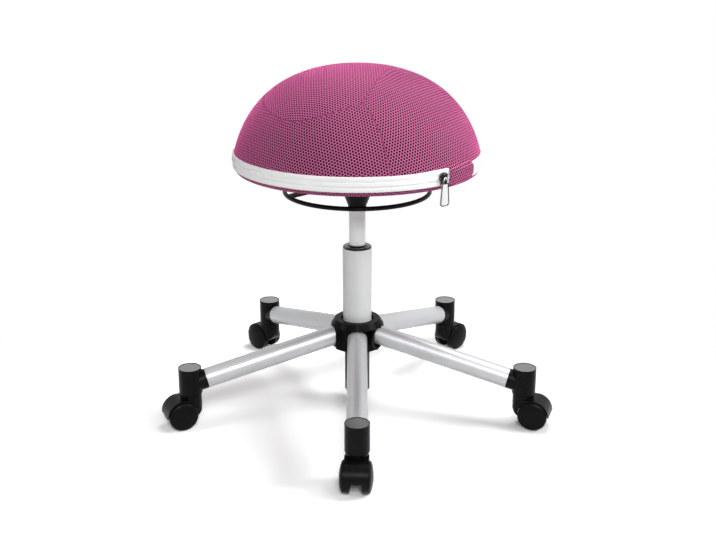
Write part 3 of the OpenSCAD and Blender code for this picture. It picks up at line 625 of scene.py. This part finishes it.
band = {"radius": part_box("zip_tapes")[1].x, "low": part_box("zip_tapes")[0].z, "high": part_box("zip_tapes")[1].z}
underCover = {
    "hole": 0.0772, "round": 0.0075, "thickness": 0.002, "steps": 192, "rimRun": 0.8, "turn": 4.0,
    "out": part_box("cover_bottom")[1].x,
    "low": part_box("cover_bottom")[0].z, "high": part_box("cover_bottom")[1].z,
}


def makeUnderCover():
    centre = (underCover["out"] - underCover["round"], underCover["low"] + underCover["round"])
    outerArc = arc(centre, underCover["round"], -90, 0, 12)
    innerArc = arc(centre, underCover["round"] - underCover["thickness"], 0, -90, 12)
    flatOut = [(r, underCover["low"]) for r in np.linspace(underCover["hole"], centre[0], 14)[:-1]]
    profile = [*flatOut, *outerArc, *innerArc, (underCover["hole"], underCover["low"] + underCover["thickness"])]
    shape = spun(profile, underCover["steps"])
    piece = pieceFrom(shape, "seat_cover_under", meshFlat, "seat")
    points = np.array([v.co for v in piece.data.vertices])
    radius = np.hypot(points[:, 0], points[:, 1])
    rise = np.clip(points[:, 2] - underCover["low"], 0, None)
    reach = radius + rise * underCover["rimRun"]            # the rim's run, laid flat
    azimuth = np.arctan2(points[:, 1], points[:, 0])
    flat = turned(reach * np.cos(azimuth), reach * np.sin(azimuth), underCover["turn"])
    writeAttribute(piece, "clothFlat", flat)
    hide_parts("cover_bottom")
    return piece


makeUnderCover()

tape = {"height": 0.0081, "inner": band["radius"] - 0.0039, "steps": 256}


# a woven tape with a soft outer roll, sewn edge and crease
def makeTape(low):
    h = tape["height"]
    out = band["radius"]
    profile = [(tape["inner"], low), (out - 0.0012, low + 0.0001), (out - 0.0005, low + h * 0.08),
               (out - 0.0001, low + h * 0.22), (out, low + h * 0.42), (out, low + h * 0.6),
               (out - 0.0002, low + h * 0.78), (out - 0.0006, low + h * 0.92), (out - 0.0013, low + h - 0.0001),
               (tape["inner"], low + h)]
    return spun(profile, tape["steps"])


def makeTapes():
    both = makeTape(band["low"])
    upperLow = band["high"] - tape["height"]
    upper = makeTape(upperLow)
    for vert in upper.verts:
        vert.co.z += hemRise(math.atan2(vert.co.y, vert.co.x)) * (vert.co.z - upperLow) / tape["height"]
    spare = bpy.data.meshes.new("spare")
    upper.to_mesh(spare)
    both.from_mesh(spare)
    upper.free()
    bpy.data.meshes.remove(spare)
    piece = pieceFrom(both, "zip_tape_pair", tapeWhite, "seat")
    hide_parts("zip_tapes")
    return piece


makeTapes()

teeth = {"count": 520, "low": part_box("zip_coil")[0].z, "high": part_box("zip_coil")[1].z,
         "radius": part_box("zip_coil")[1].x, "depth": 0.0040, "face": 0.001, "lift": 0.0003}


# the closed coil: a beaded strip with its loops as fine ribs, all round
def makeTeeth():
    low, high, out = teeth["low"], teeth["high"], teeth["radius"]
    h = high - low
    inner = out - teeth["depth"]
    profile = [(inner, low), (out - 0.0013, low), (out - 0.0004, low + h * 0.16), (out - 0.0001, low + h * 0.3),
               (out - 0.0003, low + h * 0.5), (out - 0.0001, low + h * 0.7), (out - 0.0004, low + h * 0.84),
               (out - 0.0013, high), (inner, high)]
    shape = spun(profile, teeth["count"])
    for vert in shape.verts:
        azimuth = math.atan2(vert.co.y, vert.co.x)
        step = round(azimuth / math.tau * teeth["count"])
        radius = math.hypot(vert.co.x, vert.co.y)
        if radius > out - teeth["face"] and step % 2:
            vert.co.x -= teeth["lift"] * math.cos(azimuth)
            vert.co.y -= teeth["lift"] * math.sin(azimuth)
    piece = pieceFrom(shape, "zip_teeth", teethWhite, "seat")
    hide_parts("zip_coil")
    return piece


makeTeeth()
print("zip made")

flap = {"start": 312.7, "sweep": 18.6, "low": -0.0262, "high": 0.0085, "proud": 0.0024, "thickness": 0.0011,
        "roundWide": 9.5, "roundTall": 0.0125, "narrow": 0.6, "narrowRun": 0.008,
        "bendLow": -0.005, "bendRun": 0.009, "rest": 0.0008, "tuck": 0.0016, "steps": 56, "rows": 48}


# a tongue of the cover's own cloth, laid over the band where the zip ends
def makeFlap():
    shape = bmesh.new()
    start = math.radians(flap["start"])
    tall = flap["high"] - flap["low"]
    bmesh.ops.create_grid(shape, x_segments=flap["steps"], y_segments=flap["rows"], size=0.5)
    for vert in shape.verts:
        u, v = vert.co.x + 0.5, vert.co.y + 0.5
        fromLow = v * tall
        sweep = flap["sweep"]
        if fromLow < flap["roundTall"]:                     # the lower right corner is one wide round
            depth = 1 - fromLow / flap["roundTall"]
            sweep += flap["roundWide"] * (math.sqrt(max(1 - depth * depth, 0)) - 1)
        height = flap["low"] + fromLow
        sweep -= flap["narrow"] * min(max(height / flap["narrowRun"] + 1, 0), 1)
        azimuth = start + u * math.radians(sweep)
        over = band["radius"] + flap["proud"]
        onCover = np.interp(height, curveTable[:, 1], curveTable[:, 0]) + flap["rest"]
        onCover -= flap["tuck"] * max(height / flap["high"], 0)
        share = min(max((height - flap["bendLow"]) / flap["bendRun"], 0), 1)
        share = share * share * (3 - 2 * share)
        radius = over + (onCover - over) * share
        vert.co = (radius * math.cos(azimuth), radius * math.sin(azimuth), height + dome["rim"])
    bmesh.ops.recalc_face_normals(shape, faces=shape.faces)
    if sum(f.normal.xy.dot(f.calc_center_median().xy) for f in shape.faces) < 0:
        bmesh.ops.reverse_faces(shape, faces=shape.faces)
    bmesh.ops.solidify(shape, geom=shape.faces[:], thickness=flap["thickness"])
    piece = pieceFrom(shape, "zip_flap", meshTop, "seat")
    height = np.array([v.co.z for v in piece.data.vertices]) - dome["rim"]
    clothAttributes(piece, np.where(height > 0, np.interp(height, curveTable[:, 1], curveRun), height))
    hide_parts("zip_tab")
    return piece


makeFlap()

crown = {"out": bail.xy.length - 0.0031, "up": bail.z + 0.0080, "half": (0.0032, 0.0080, 0.0052),
         "segments": 32, "rings": 20, "cut": -0.02}
loop = {"out": bail.xy.length + 0.0004, "up": bail.z + 0.0022, "radius": 0.0024, "wire": 0.0008, "tall": 1.3}


# the slider's domed crown, on its plate above the puller's pin, coloured near black as painted dark reflection
def makeCrown():
    shape = bmesh.new()
    bmesh.ops.create_uvsphere(shape, u_segments=crown["segments"], v_segments=crown["rings"], radius=1.0)
    bmesh.ops.bisect_plane(shape, geom=shape.verts[:] + shape.edges[:] + shape.faces[:],
                           plane_co=(crown["cut"], 0, 0), plane_no=(1, 0, 0), clear_inner=True)
    bmesh.ops.holes_fill(shape, edges=[e for e in shape.edges if e.is_boundary])
    bmesh.ops.scale(shape, vec=crown["half"], verts=shape.verts)
    bmesh.ops.translate(shape, vec=(crown["out"], 0, crown["up"]), verts=shape.verts)
    bmesh.ops.rotate(shape, cent=(0, 0, 0), matrix=Matrix.Rotation(endAzimuth, 3, "Z"), verts=shape.verts)
    # painted dark reflection: near black stands for the dark the chrome crown reflects
    paintedDarkReflection = grained("crown_painted_dark_reflection", (0.006, 0.005, 0.006), 0.2, 0.00002, 900.0, specular=0.2)
    piece = pieceFrom(shape, "zip_slider_crown", paintedDarkReflection, "zip_slider")
    return piece


# the bright loop at the puller's neck, which swings with it
def makeLoop():
    shape = bmesh.new()
    ring = [shape.verts.new((loop["radius"] + loop["wire"] * math.cos(a), loop["wire"] * math.sin(a), 0))
            for a in np.linspace(0, math.tau, 10, endpoint=False)]
    edges = [shape.edges.new(pair) for pair in zip(ring, ring[1:] + ring[:1])]
    bmesh.ops.spin(shape, geom=ring + edges, cent=(0, 0, 0), axis=(0, 1, 0), angle=math.tau, steps=40, use_merge=True)
    bmesh.ops.scale(shape, vec=(1, 1, loop["tall"]), verts=shape.verts)
    bmesh.ops.rotate(shape, cent=(0, 0, 0), matrix=Matrix.Rotation(math.radians(90), 3, "Z"), verts=shape.verts)
    bmesh.ops.translate(shape, vec=(loop["out"], 0, loop["up"]), verts=shape.verts)
    bmesh.ops.rotate(shape, cent=(0, 0, 0), matrix=Matrix.Rotation(endAzimuth, 3, "Z"), verts=shape.verts)
    bright = bareMetal("loop_chrome", (0.86, 0.86, 0.87), 0.12, False)
    piece = pieceFrom(shape, "zip_puller_loop", bright, "zip_puller")
    return piece


makeCrown()
makeLoop()
print("flap and slider made")


collar = {"axis": 0.1413, "slope": 12.5, "inner": 0.0171, "outer": 0.0198, "start": 0.034, "length": 0.018,
          "face": 0.0446, "edge": 0.0004, "sharp": 1.2, "steps": 36, "legs": (270, 342, 54, 126, 198)}


# the short moulded collars in which the legs sit, cut off upright in front of the hub
def makeCollars():
    shape = bmesh.new()
    slope = Matrix.Rotation(math.radians(collar["slope"]), 3, "Y")
    for azimuth in collar["legs"]:
        verts = []
        for radius in (collar["inner"], collar["outer"]):
            made = bmesh.ops.create_circle(shape, cap_ends=False, segments=collar["steps"], radius=radius)["verts"]
            bmesh.ops.rotate(shape, cent=(0, 0, 0), matrix=Matrix.Rotation(math.radians(90), 3, "Y"), verts=made)
            bmesh.ops.translate(shape, vec=(collar["start"], 0, 0), verts=made)
            verts += made
        edges = list({e for v in verts for e in v.link_edges})
        bmesh.ops.bridge_loops(shape, edges=edges)
        out = bmesh.ops.extrude_edge_only(shape, edges=edges)["geom"]
        ends = [g for g in out if isinstance(g, bmesh.types.BMVert)]
        bmesh.ops.translate(shape, vec=(collar["length"], 0, 0), verts=ends)
        verts += ends
        bmesh.ops.rotate(shape, cent=(0, 0, 0), matrix=slope, verts=verts)
        bmesh.ops.translate(shape, vec=(0, 0, collar["axis"]), verts=verts)
        faces = list({f for v in verts for f in v.link_faces})
        sides = list({e for f in faces for e in f.edges})
        bmesh.ops.bisect_plane(shape, geom=verts + sides + faces, plane_co=(collar["face"], 0, 0),
                               plane_no=(1, 0, 0), clear_outer=True)
        bmesh.ops.bridge_loops(shape, edges=[e for e in shape.edges if e.is_boundary])
        fresh = [v for v in shape.verts if not v.tag]
        bmesh.ops.rotate(shape, cent=(0, 0, 0), matrix=Matrix.Rotation(math.radians(azimuth), 3, "Z"), verts=fresh)
        for vert in shape.verts:
            vert.tag = True
    rims = [e for e in shape.edges if len(e.link_faces) == 2 and e.calc_face_angle() > collar["sharp"]]
    bmesh.ops.bevel(shape, geom=rims, offset=collar["edge"], segments=2, profile=0.5, affect="EDGES", material=-1)
    piece = pieceFrom(shape, "hub_collars", finishes["hub_plastic"], "base")
    return piece


collars = makeCollars()
print("collars made:", len(collars.data.polygons), "faces")

studio = {
    "floor": 40.0, "floorLeft": 0.75, "floorRight": 0.47, "leftEnd": -0.15, "rightEnd": 0.40,
    "lift": 0.02, "nearWhite": 0.44, "farWhite": 0.78, "world": 0.05,
    "lamps": [
        ("front", (0.15, -2.3, 1.7), 0.8, 33.0),
        ("frontRight", (1.35, -1.5, 1.9), 0.5, 6.0),
        ("left", (-1.6, -0.5, 1.2), 0.5, 5.0),
        ("back", (0.45, 0.5, 2.2), 1.0, 26.5),
        ("right", (1.6, -0.3, 1.3), 0.6, 19.5),
    ],
    "aim": (0, 0, 0.3),
}


# the rays that look at the background itself: the camera's, and those of metal and glass
def lookingRays(paint):
    rays = ("Is Camera Ray", "Is Glossy Ray", "Is Transmission Ray")
    camera, glossy, through = paint.node("ShaderNodeLightPath", output=rays)
    return camera.most(glossy).most(through)


# a plain floor to the light; to the eye it goes over to white round the stool, and keeps the shadows
def makeFloor():
    shape = bmesh.new()
    bmesh.ops.create_grid(shape, x_segments=1, y_segments=1, size=studio["floor"])
    data = bpy.data.meshes.new("floor")
    shape.to_mesh(data)
    shape.free()
    floor = bpy.data.objects.new("floor", data)
    scene.collection.objects.link(floor)
    paint = newPaint("floor")
    x, _, _ = paint.split(paint.place())                    # a little darker on the side that gets more light
    share = x.between(studio["leftEnd"], studio["rightEnd"])
    grey = paint.mixColours(share, (studio["floorLeft"],) * 3, (studio["floorRight"],) * 3)
    plain = paint.node("ShaderNodeBsdfDiffuse", None, {"Color": grey})
    glow = paint.node("ShaderNodeEmission", None, {"Color": (1, 1, 1, 1), "Strength": studio["lift"]})
    white = paint.node("ShaderNodeEmission", None, {"Color": (1, 1, 1, 1), "Strength": 1.0})
    pale = paint.node("ShaderNodeAddShader", None, [plain, plain])
    pale = paint.node("ShaderNodeAddShader", None, [pale, glow])
    away = paint.node("ShaderNodeVectorMath", {"operation": "LENGTH"}, [paint.place()], "Value")
    away = away.between(studio["nearWhite"], studio["farWhite"])
    backdrop = paint.node("ShaderNodeMixShader", None, [away, pale, white])
    paint.finish(paint.node("ShaderNodeMixShader", None, [lookingRays(paint), plain, backdrop]))
    data.materials.append(paint.owner)


def makeWorld():
    scene.world = bpy.data.worlds.new("studio")
    paint = Paint(scene.world)
    plain = paint.node("ShaderNodeBackground", None, {"Color": (1, 1, 1, 1), "Strength": studio["world"]})
    white = paint.node("ShaderNodeBackground", None, {"Color": (1, 1, 1, 1), "Strength": 1.0})
    mix = paint.node("ShaderNodeMixShader", None, [lookingRays(paint), plain, white])
    paint.finish(mix, "ShaderNodeOutputWorld")


def makeLamp(name, place, size, power):
    data = bpy.data.lights.new(name, "AREA")
    data.shape = "SQUARE"
    data.size = size
    data.energy = power
    lamp = bpy.data.objects.new(name, data)
    lamp.location = place
    lamp.rotation_euler = (Vector(studio["aim"]) - Vector(place)).to_track_quat("-Z", "Y").to_euler()
    scene.collection.objects.link(lamp)


makeFloor()
makeWorld()
for row in studio["lamps"]:
    makeLamp(*row)
scene.view_settings.view_transform = "Standard"
print("studio made")
